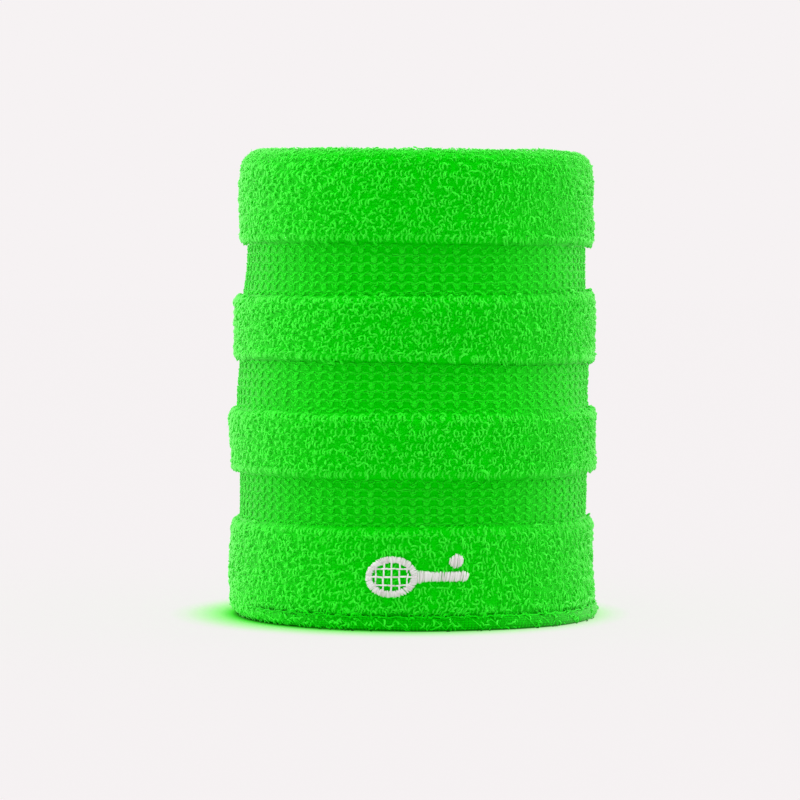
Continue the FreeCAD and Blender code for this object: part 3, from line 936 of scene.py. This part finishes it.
# %% Outlines of the embroidery
def flat_box(node):
    low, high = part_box(node)
    return np.array([low[0], low[2], high[0], high[2]]) / MM


HEAD, THROAT, HANDLE, BALL = (flat_box("motif_" + part)
                              for part in ("racket_head", "racket_throat", "racket_handle", "ball"))
HEAD_CENTRE = (HEAD[:2] + HEAD[2:]) / 2
HEAD_HALF = (HEAD[2:] - HEAD[:2]) / 2
BALL_CENTRE = (BALL[:2] + BALL[2:]) / 2
BALL_HALF = (BALL[2] - BALL[0]) / 2
RIM = 1.0
ROOM = 0.25
PRESSED = 0.42
FRONT = -20


def from_head(at, grow):
    """How far out a point is from the middle of the racket's head: 1 on its outline, grown by so many mm."""
    return np.hypot(*((at[:, (0, 2)] - HEAD_CENTRE) / (HEAD_HALF + grow)).T)


def clear_of_stitches(at):
    """False where a loop's root would lie under the embroidery."""
    x, z = at[:, 0], at[:, 2]
    hidden = (from_head(at, ROOM) < 1) & (from_head(at, -RIM - ROOM) > 1)
    for left, low, right, high in (THROAT, HANDLE):
        hidden |= (x > left) & (x < right + ROOM) & (z > low - ROOM) & (z < high + ROOM)
    hidden |= np.hypot(x - BALL_CENTRE[0], z - BALL_CENTRE[1]) < BALL_HALF + ROOM
    return ~(hidden & (at[:, 1] < FRONT))


def pressed(at):
    """How far the loops between the strings are pressed in, in mm."""
    return np.where((from_head(at, 0) < 1) & (at[:, 1] < FRONT), PRESSED, 0.0)


print("racket's head in mm:", HEAD.round(2), "handle:", HANDLE.round(2), "ball:", BALL.round(2))

# %% Terry zones
FIRST_SEED = 11
TERRY_SIDES = (
    ("outer", "terry", loop_shapes, COURSE, PITCH, 0),
    ("inner", "inner_terry", plain_loops, 1.30, 0.95, 10),
)
for side, slot, shapes, course, pitch, shift in TERRY_SIDES:
    for number, zone_name in enumerate(TERRY_ZONES):
        name = side + "_" + zone_name
        borders = (side == "outer" or zone_name != "terry_bottom", zone_name != "terry_top")
        courses = zone_courses(zones[name], side, borders, course, pitch)
        sewn = (clear_of_stitches, pressed) if name == "outer_terry_bottom" else (None, None)
        piece = plant(name + "_loops", courses, shapes, FIRST_SEED + number + shift, *sewn)
        dress(piece, terry_green, [name])

# %% Terry over the fold
FOLD_COURSES = 10
FOLD_PITCH = 0.52
FOLD_TIDY = 0.3
FOLD_SIZE = 0.66
courses = []
for number in range(FOLD_COURSES):
    arc = (number + 0.5) * math.pi / FOLD_COURSES
    place = (FOLD_MIDDLE + FOLD_REACH * math.cos(arc), FOLD_FOOT + FOLD_REACH * math.sin(arc))
    courses.append((*place, arc, FOLD_PITCH, FOLD_TIDY, FOLD_SIZE))
piece = plant("top_fold_loops", courses, loop_shapes, 31)
dress(piece, terry_green, ["top_fold"])

# %% [markdown]
# ## Plain knit with tuck pockets
# The plain zones are a firm structured knit: every course is a yarn that steps up and down like a row of
# low arches, a pocket lies under each arch, and short strokes of yarn and a small dome fill the dips
# between them. A bump pattern would look printed from the side. So one course is a thin ring of yarn, spun
# with a few points to a stitch and then bent to the arches, and copies of it at every course make a zone.

# %% One course of yarn
STITCHES = 80
RING_RADIUS = 10
YARN_UP = 0.125
YARN_OUT = 0.135
ARCH_RISE = 0.24
ARCH_SINK = 0.10
ARCH_TOP = 0.34
ARCH_SIDE = 0.42


def plain_ring(name, sides, steps):
    """A ring of yarn of radius 1, read as turn, out, up and faces, for bending later."""
    place, upright = (RING_RADIUS * MM, 0, 0), (math.pi / 2, 0, 0)
    add = bpy.ops.mesh.primitive_circle_add
    piece = begin(name, add, vertices=sides, radius=1 * MM, location=place, rotation=upright)
    spin_round(steps)
    at, faces = taken(piece)
    turn, radius, up = polar(at)
    return turn, radius - RING_RADIUS, up, np.array(faces)


def arches(turn, phase):
    """Height of the arches, from -0.5 in a dip to 0.5 on top."""
    part = (turn / math.tau * STITCHES + phase) % 1.0
    away = np.abs(part - 0.5) * 2
    climb = np.clip((away - ARCH_TOP) / ARCH_SIDE, 0, 1)
    return 0.5 - climb * climb * (3 - 2 * climb)


def bent_course(ring, radius, height, way, phase):
    """Bends the plain ring to one course. way is 1 outside and -1 inside."""
    turn, out, up, faces = ring
    step = 1e-3
    level = arches(turn, phase)
    slope = (arches(turn + step, phase) - arches(turn - step, phase)) * ARCH_RISE / (2 * step * radius)
    steep = np.sqrt(1 + slope * slope)
    middle = radius + way * ARCH_SINK * (level - 0.5)
    shift = -up * YARN_UP * slope / steep
    lifted = height + ARCH_RISE * level + up * YARN_UP / steep
    reach = middle + out * YARN_OUT
    return from_polar(turn + shift / reach, reach, lifted)


knit_rings = {
    "outer": plain_ring("course", 4, STITCHES * 6),
    "inner": plain_ring("light_course", 4, STITCHES * 5),
}
print("a course of", len(knit_rings["outer"][3]), "faces")

# %% Strokes of yarn
bead = begin("bead", bpy.ops.mesh.primitive_uv_sphere_add, segments=5, ring_count=4, radius=1 * MM)
bpy.ops.object.mode_set(mode="EDIT")
close_up(weld=False)
at, faces = taken(bead)
# Depth here is painted shade: the stroke is lighter on the side that faces out of the cloth.
stroke_shape = (at, faces, at[:, 1] * -0.5 + 0.5)

# Place in the stitch, height, half sizes, slant and how deep it lies
STROKES = (
    (0.50, 0.22, (0.58, 0.13, 0.13), 0.10, 0.02),
    (0.24, -0.12, (0.44, 0.11, 0.13), 1.00, 0.03),
    (0.78, -0.14, (0.44, 0.11, 0.13), -0.80, 0.05),
    (0.00, -0.38, (0.36, 0.12, 0.13), 0.20, 0.02),
    (0.06, -0.72, (0.46, 0.12, 0.14), 0.70, 0.05),
    (0.92, -0.66, (0.42, 0.12, 0.13), -0.60, 0.06),
    (0.00, -0.54, (0.56, 0.13, 0.54), 0.00, 0.19),
)
UNEVEN = {"place": 0.08, "slant": 0.22, "depth": 0.02, "height": 0.05, "size": 0.12}


def strokes(radius, place, height, half, slant, random):
    """Origins, directions, half sizes and ways out of one stroke per stitch."""
    off = random.normal(0, UNEVEN["place"] / radius, STITCHES)
    turn = (np.arange(STITCHES) + place) * math.tau / STITCHES + off
    radial, round_it, up = directions(turn)
    tip = random.normal(slant, UNEVEN["slant"], STITCHES)[:, None]
    axes = np.stack([round_it + tip * up, -radial, up - tip * round_it], axis=1)
    axes = axes / np.sqrt(1 + tip ** 2)[:, :, None]
    depth = radius + random.normal(0, UNEVEN["depth"], STITCHES)
    level = height + random.normal(0, UNEVEN["height"], STITCHES)
    origins = depth[:, None] * radial + level[:, None] * up
    return origins, axes, np.array(half)[None, :] * random.normal(1, UNEVEN["size"], (STITCHES, 1)), radial


print("a stroke of", len(faces), "faces")

# %% Knit zones
COURSE_UP = 1.42
STRANDS = ((0.5, 0.17), (-0.5, 0.24))
STRAND_APART = 0.22
KNIT_BACK = 0.16
FIRST_KNIT_SEED = 50
PLACES = np.linspace(0, math.tau, 161)


def knit_course(random, ring, zone, side, course, count):
    """The two strands of one course as parts, and its strokes where it is outside."""
    way = 1 if side == "outer" else -1
    turn, out, up, faces = ring
    level = zone["low"] + (zone["high"] - zone["low"]) * (course + 0.5) / count
    radius = np.interp(level, (zone["low"], zone["high"]), zone[side]) - way * KNIT_BACK
    uneven = np.interp(turn % math.tau, PLACES, random.normal(0, 0.05, len(PLACES)))
    parts = []
    for strand, sink in STRANDS:
        bent = bent_course(ring, radius - way * sink, level + strand * STRAND_APART, way, 0.02 * strand)
        bent[:, 2] += uneven + 0.04 * np.sin(turn * 11 + course * 1.7 + strand)
        tone = 0.5 + 0.25 * np.sin(turn * 13 + course * 2.1) + 0.25 * np.sin(turn * 29 + course)
        # Depth here is painted shade: lighter on the side facing out of the layer and on the upper strand.
        depth = np.clip(0.6 + 0.4 * way * out + 0.5 * strand, 0, 1)
        parts.append((bent, [faces], depth, tone, radial_of(bent)))
    laid = []
    if side == "outer":
        for place, drop, half, slant, sink in STROKES:
            laid.append(strokes(radius - sink, place, level + drop, half, slant, random))
    return parts, laid


for number, name in enumerate([side + "_" + zone_name for side in SIDES for zone_name in KNIT_ZONES]):
    side = name[:5]
    zone = zones[name]
    random = np.random.default_rng(FIRST_KNIT_SEED + number)
    count = round((zone["high"] - zone["low"]) / COURSE_UP)
    parts, laid = [], []
    for course in range(count):
        more_parts, more_laid = knit_course(random, knit_rings[side], zone, side, course, count)
        parts += more_parts
        laid += more_laid
    if laid:
        where = [np.concatenate(part) for part in zip(*laid)]
        parts.append(copies([stroke_shape], np.zeros(len(where[0]), int), *where))
    piece = mesh_piece(name + "_yarn", *joined(parts))
    slot = "plain_knit" if side == "outer" else "inner_plain_knit"
    dress(piece, knit_green, [name])
    print(name, count, "courses,", triangles(piece), "triangles")

# %% [markdown]
# ## The overlocked edge
# Below the last terry zone both cut ends are sewn together. The edge is a soft, uneven roll; the overlock
# stitch binds it with a needle thread in the crease and two looper threads that run zigzag over its outside
# and inside. Loops of the lowest terry hang over it, more of them at the left, and a few that the knife cut
# stick out inside. A swept curve could be the roll, but a spun plane with rounded corners keeps its flat
# underside on the floor.

# %% Lip
# How dark the painted shade on the lip's outside is.
LIP_SHADE = 0.28
LIP_ROUNDING = 1.0
LIP_CUTS = 5
LIP_TURNS = 240
LIP_MIDDLE = 29
LUMPS = ((0.10, 23, 0, 1), (0.08, 41, 2, 0), (0.06, 67, 0, 0))
INSIDE, OUTSIDE = lip["inner"][0], lip["outer"][0]
LIP_HEIGHT = lip["high"] - lip["low"]

bpy.ops.object.select_all(action="DESELECT")
middle = ((INSIDE + OUTSIDE) / 2 * MM, 0, (lip["low"] + lip["high"]) / 2 * MM)
bpy.ops.mesh.primitive_plane_add(size=1, location=middle, rotation=(math.pi / 2, 0, 0))
roll = bpy.context.object
roll.name = "closing_seam_lip_roll"
roll.data.name = roll.name
roll.scale = ((OUTSIDE - INSIDE) * MM, LIP_HEIGHT * MM, 1)
bpy.ops.object.transform_apply(location=True, rotation=True, scale=True)
bpy.ops.object.mode_set(mode="EDIT")
bpy.ops.mesh.select_mode(type="VERT")
bpy.ops.mesh.select_all(action="SELECT")
bpy.ops.mesh.bevel(offset=LIP_ROUNDING * MM, segments=3, affect="VERTICES")
pick_long_edges(roll, LIP_HEIGHT / 2)
bpy.ops.mesh.subdivide(number_cuts=LIP_CUTS)
bpy.ops.mesh.select_all(action="SELECT")
bpy.ops.mesh.delete(type="ONLY_FACE")
spin_round(LIP_TURNS)
unroll(roll)
turn, radius, height = polar(points_of(roll))
outward = np.where(radius > LIP_MIDDLE, 1, -1)
lump = sum(size * np.sin(waves * turn + (climb * height + start)) for size, waves, climb, start in LUMPS)
radius = radius + outward * lump * np.clip(height, 0, 1)
at = from_polar(turn, radius, height)
keep(roll, "stands", radial_of(at))
# Painted shade on the outside of the lip, everywhere but at the left.
painted_lip_shade = np.interp(turn, (-1.2, -0.6), (1.0, LIP_SHADE)) * (outward > 0) + (outward < 0)
keep(roll, "shade", shade_at(at) * painted_lip_shade)
put_points(roll, settle(at))
dress(roll, ground_knit, ["closing_seam_lip"])
print("lip of", len(roll.data.polygons), "faces")

# %% Loops over the edge
# Beyond the lip, height, angle out, pitch, size and the shares kept at the left, front and right
HEM_COURSES = (
    (-0.20, 2.90, -0.15, 0.54, 1.0, (1.00, 0.60, 0.60)),
    (0.12, 0.42, -0.30, 0.60, 0.9, (0.95, 0.12, 0.40)),
    (0.14, 1.15, -0.10, 0.58, 1.0, (1.00, 0.14, 0.30)),
    (0.16, 2.05, 0.10, 0.56, 1.1, (1.00, 0.40, 0.35)),
)
CUT_COURSES = ((0.8, 3.0), (1.8, 3.6))
HEM_SEED = 72


def hanging(left, front, right):
    """Keeps the given shares of the loops at the left, at the front and at the right of the band."""
    draw = np.random.default_rng(HEM_SEED + 1)

    def spare(at):
        side = np.sin(polar(at)[0])
        share = np.interp(side, (-0.95, -0.75, -0.1, 0.6, 1.0), (left, left, front, front, right))
        return draw.random(len(at)) < share

    return spare


for number, (beyond, height, out, pitch, size, shares) in enumerate(HEM_COURSES):
    courses = [(OUTSIDE + beyond, height, out, pitch, 0.1, size)]
    name = f"closing_seam_hem_loops_{number}"
    piece = plant(name, courses, loop_shapes, HEM_SEED + number, hanging(*shares))
    dress(piece, terry_green)
courses = [(INSIDE - 0.32, height, math.pi, pitch, 0.0, 0.95) for height, pitch in CUT_COURSES]
dress(plant("closing_seam_cut_loops", courses, loop_shapes, HEM_SEED + 4), terry_green)

# %% Overlock threads
OVERLOCK_STITCHES = 62
POINTS_PER_SWING = 6
BOW = 0.16


def stitched_thread(name, node, radius, low, high, thick, way):
    """A thread that runs zigzag between two heights, all the way round."""
    turn, out, up, faces = plain_ring(name, 5, OVERLOCK_STITCHES * POINTS_PER_SWING)
    part = (turn / math.tau * OVERLOCK_STITCHES) % 1.0
    swing = 0.5 + 0.5 * np.sin(math.tau * part + 0.5 * np.sin(math.tau * part))
    level = low + (high - low) * swing
    reach = radius + way * BOW * np.sin(math.pi * swing) + out * thick
    made = from_polar(turn, reach, level + up * thick)
    tone = 0.5 + 0.5 * np.sin(turn * 37)
    # Depth here is painted shade: the thread is lighter on the side that faces away from the cloth.
    piece = mesh_piece(name, made, [faces], np.clip(0.5 + 0.5 * way * out, 0, 1), tone, radial_of(made))
    print(name, triangles(piece), "triangles")
    dress(piece, thread_green, [node])


stitched_thread("seam_needle_stitches", "seam_needle_thread", OUTSIDE - 0.45, 2.62, 2.86, 0.15, 1)
stitched_thread("seam_outer_looper_stitches", "seam_outer_looper_thread", OUTSIDE - 0.12, 0.45, 2.30, 0.09, 1)
stitched_thread("seam_inner_looper_stitches", "seam_inner_looper_thread", INSIDE + 0.02, 0.45, 2.45, 0.13, -1)

# %% [markdown]
# ## Satin-stitch racket and ball
# The embroidery is satin stitch: fine white threads laid side by side across each part, so that every
# outline has the small teeth of single stitches. A flat shape with a striped finish would lose those teeth.
# One thread is a thin rod whose ends dive into the cloth. It is copied across the rim, the throat, the
# handle and the ball, and end to end along the strings.

# %% White thread
white = Surface(
    "satin_thread",
    Roughness=0.5,
    Specular_IOR_Level=0.35,
    Sheen_Weight=0.25,
    Sheen_Roughness=0.4,
)
level = white.math("MULTIPLY_ADD", white.noise(5000.0, 3.0), 0.5, white.attribute("tone"))
WHITES = ((0.2, (0.74, 0.72, 0.69)), (0.6, (0.88, 0.87, 0.85)), (1.0, (0.96, 0.955, 0.94)))
white.feed(white.ramp(level, WHITES), "Base Color")
white.bump(white.noise(14000.0), 0.00004, 0.5)
print("white thread ready")

# %% One satin stitch
rod = begin("rod", bpy.ops.mesh.primitive_cylinder_add, vertices=6, radius=1 * MM, depth=2 * MM)
pick_long_edges(rod, 1.5)
bpy.ops.mesh.subdivide(number_cuts=5)
close_up(weld=False)
at, faces = taken(rod)
down_it = np.abs(at[:, 2])
thin = np.sqrt(np.clip(1 - 0.72 * down_it ** 6, 0, 1))
stitch = np.stack([at[:, 0] * thin, at[:, 1] * thin - (1 - down_it ** 3), at[:, 2]], axis=1)
stitch_shape = (stitch, faces, 1 - down_it)
print("a stitch of", len(faces), "faces")

# %% Laying stitches
STITCH_RADIUS = -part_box("motif_racket_handle")[0][1] / MM - 0.28
THREAD = 0.125
THREAD_OFF = 0.055
DIVE = 0.05


def lay(name, node, ends, seed, thick=THREAD, lift=0.30):
    """Lays one stitch per row of ends, (x, z) to (x, z) in mm, on the band's front."""
    random = np.random.default_rng(seed)
    ends = np.array(ends, float)
    ends = ends + random.normal(0, THREAD_OFF, ends.shape)
    middle = (ends[:, :2] + ends[:, 2:]) / 2
    run = ends[:, 2:] - ends[:, :2]
    length = np.linalg.norm(run, axis=1)
    radial, round_it, rise = directions(np.arcsin(middle[:, 0] / STITCH_RADIUS))
    way = (run[:, :1] * round_it + run[:, 1:] * rise) / length[:, None]
    axes = np.stack([np.cross(way, -radial), -radial, way], axis=1)
    origins = STITCH_RADIUS * radial + middle[:, 1:] * rise
    scales = np.stack([np.full(len(ends), thick), np.full(len(ends), lift * 0.6), length / 2 + DIVE], axis=1)
    scales[:, :2] *= random.normal(1, 0.06, (len(ends), 1))
    made = copies([stitch_shape], np.zeros(len(ends), int), origins, axes, scales, radial)
    dress(mesh_piece(name, *made), white.material, [node])
    print(name, len(ends), "stitches")


def across_oval(centre, half, rim, pitch):
    """Stitches across the rim of an oval, with a slight slant."""
    around = math.pi * (3 * sum(half) - math.sqrt((3 * half[0] + half[1]) * (half[0] + 3 * half[1])))
    rows = []
    for angle in np.arange(0, math.tau, math.tau * pitch / around):
        outer = (centre[0] + half[0] * math.cos(angle), centre[1] + half[1] * math.sin(angle))
        behind = angle - 0.05
        wide, tall = half[0] - rim, half[1] - rim
        inner = (centre[0] + wide * math.cos(behind), centre[1] + tall * math.sin(behind))
        rows.append((*inner, *outer))
    return rows


def bars(places, height, halves, slant):
    """Upright stitches side by side, each as long as twice its half."""
    return [(x - slant, height - half, x + slant, height + half) for x, half in zip(places, halves)]


# %% Racket and ball
SATIN_PITCH = 0.20
ROUND_END = (0.55, 0.6)
BAR_HEIGHT = (HANDLE[1] + HANDLE[3]) / 2
HANDLE_HALF = (HANDLE[3] - HANDLE[1]) / 2

lay("racket_head_satin", "motif_racket_head", across_oval(HEAD_CENTRE, HEAD_HALF, RIM, SATIN_PITCH), 81)
steps = np.arange(THROAT[0], THROAT[2] + 0.01, SATIN_PITCH)
narrow = np.interp(steps, (THROAT[0], THROAT[2]), ((THROAT[3] - THROAT[1]) / 2, HANDLE_HALF))
lay("racket_throat_satin", "motif_racket_throat", bars(steps, BAR_HEIGHT, narrow, 0.1), 82)
steps = np.arange(HANDLE[0], HANDLE[2], SATIN_PITCH)
end = np.sqrt(np.clip(1 - np.clip((steps - HANDLE[2] + ROUND_END[0]) / ROUND_END[1], 0, 1) ** 2, 0, 1))
lay("racket_handle_satin", "motif_racket_handle", bars(steps, BAR_HEIGHT, HANDLE_HALF * end, 0.12), 83)
steps = np.arange(BALL[0] + 0.1, BALL[2] - 0.05, SATIN_PITCH)
chord = np.sqrt(np.clip(BALL_HALF ** 2 - (steps - BALL_CENTRE[0]) ** 2, 0, None))
long_enough = chord > 0.2
lay("ball_satin", "motif_ball", bars(steps[long_enough], BALL_CENTRE[1], chord[long_enough], 0.1), 84)

# %% Strings
STRING_SPACING = 1.3
STRING_STITCH = 1.2
STRING_HALF = HEAD_HALF - RIM * 0.6
rows = []
for fixed, run, lines in ((0, 1, 5), (1, 0, 3)):
    for offset in (np.arange(lines) - lines // 2) * STRING_SPACING:
        reach = STRING_HALF[run] * math.sqrt(1 - (offset / STRING_HALF[fixed]) ** 2)
        parts = max(2, round(2 * reach / STRING_STITCH))
        marks = np.linspace(HEAD_CENTRE[run] - reach, HEAD_CENTRE[run] + reach, parts + 1)
        for start, end in zip(marks, marks[1:]):
            row = np.full(4, HEAD_CENTRE[fixed] + offset)
            row[[run, run + 2]] = start, end
            rows.append(row)
lay("racket_strings_satin", "motif_racket_strings", rows, 85, 0.15, 0.28)

# %% [markdown]
# ## What lies inside
# Elastic yarn runs inside both layers, and behind the embroidery lie its bobbin thread and a non-woven
# patch. They are hidden in the finished band, but they are what makes it grip and keeps the stitches flat.
# The yarn is made like the overlock threads, and the patch and bobbin thread keep their CAD shapes and get
# finishes of their own.

# %% Elastic yarns
ELASTIC_RADIUS = 0.2
ELASTIC_TURNS = 120
RINGS_APART = 1.0
ELASTIC_TONE = 0.4

for side in SIDES:
    around, radius, height = polar(points_of(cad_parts[side + "_elastic_yarns"]))
    heights = np.unique(height.round(2))
    gaps = np.diff(heights) > RINGS_APART
    levels = (heights[np.concatenate(([True], gaps))] + heights[np.concatenate((gaps, [True]))]) / 2
    turn, out, up, faces = plain_ring("elastic", 5, ELASTIC_TURNS)
    parts = []
    for level in levels:
        near = np.abs(height - level) < 0.3
        reach = (radius[near].min() + radius[near].max()) / 2 + out * ELASTIC_RADIUS
        at = from_polar(turn, reach, level + up * ELASTIC_RADIUS)
        # Depth here is painted shade: the yarn is lighter on its outward side.
        depth, tone = np.clip(out * 0.5 + 0.5, 0, 1), np.full(len(at), ELASTIC_TONE)
        parts.append((at, [faces], depth, tone, radial_of(at)))
    piece = mesh_piece(side + "_elastic_turns", *joined(parts))
    dress(piece, thread_green, [side + "_elastic_yarns"])
    print(piece.name, len(levels), "turns")

# %% Bobbin thread and patch
# CAD node, finish, roughness, noise, dark and light tone, and strength of the bump
HIDDEN_FINISHES = (
    ("embroidery_bobbin_thread", "bobbin_thread", 0.8, (4000.0, 3.0),
     (0.70, 0.70, 0.68), (0.84, 0.84, 0.82), 0.6),
    ("embroidery_backing", "backing_patch", 0.95, (2500.0, 6.0),
     (0.68, 0.68, 0.67), (0.82, 0.82, 0.81), 0.8),
)
for node, name, roughness, grain, dark, light, strength in HIDDEN_FINISHES:
    look = Surface(name, Roughness=roughness)
    fibres = look.noise(*grain)
    look.feed(look.ramp(fibres, ((0.3, dark), (0.7, light))), "Base Color")
    look.bump(fibres, 0.0001, strength)
    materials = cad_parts[node].data.materials
    materials.clear()
    materials.append(look.material)
print("hidden pieces finished")

# %% [markdown]
# ## Cloth facts
# The ground is one sheet of knit, a tube that is folded over itself. Laid open, it is as wide as the band's
# girth at the middle of the wall, and as long as its way up the outside, over the fold and down the inside.

# %% [markdown]
# ## Lights reach the band only
# The large lights shine on the band's pieces and leave the floor alone.

# %% Light linking
band = bpy.data.collections.new("band")
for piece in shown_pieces():
    band.objects.link(piece)
for lamp in lamps:
    lamp.light_linking.receiver_collection = band
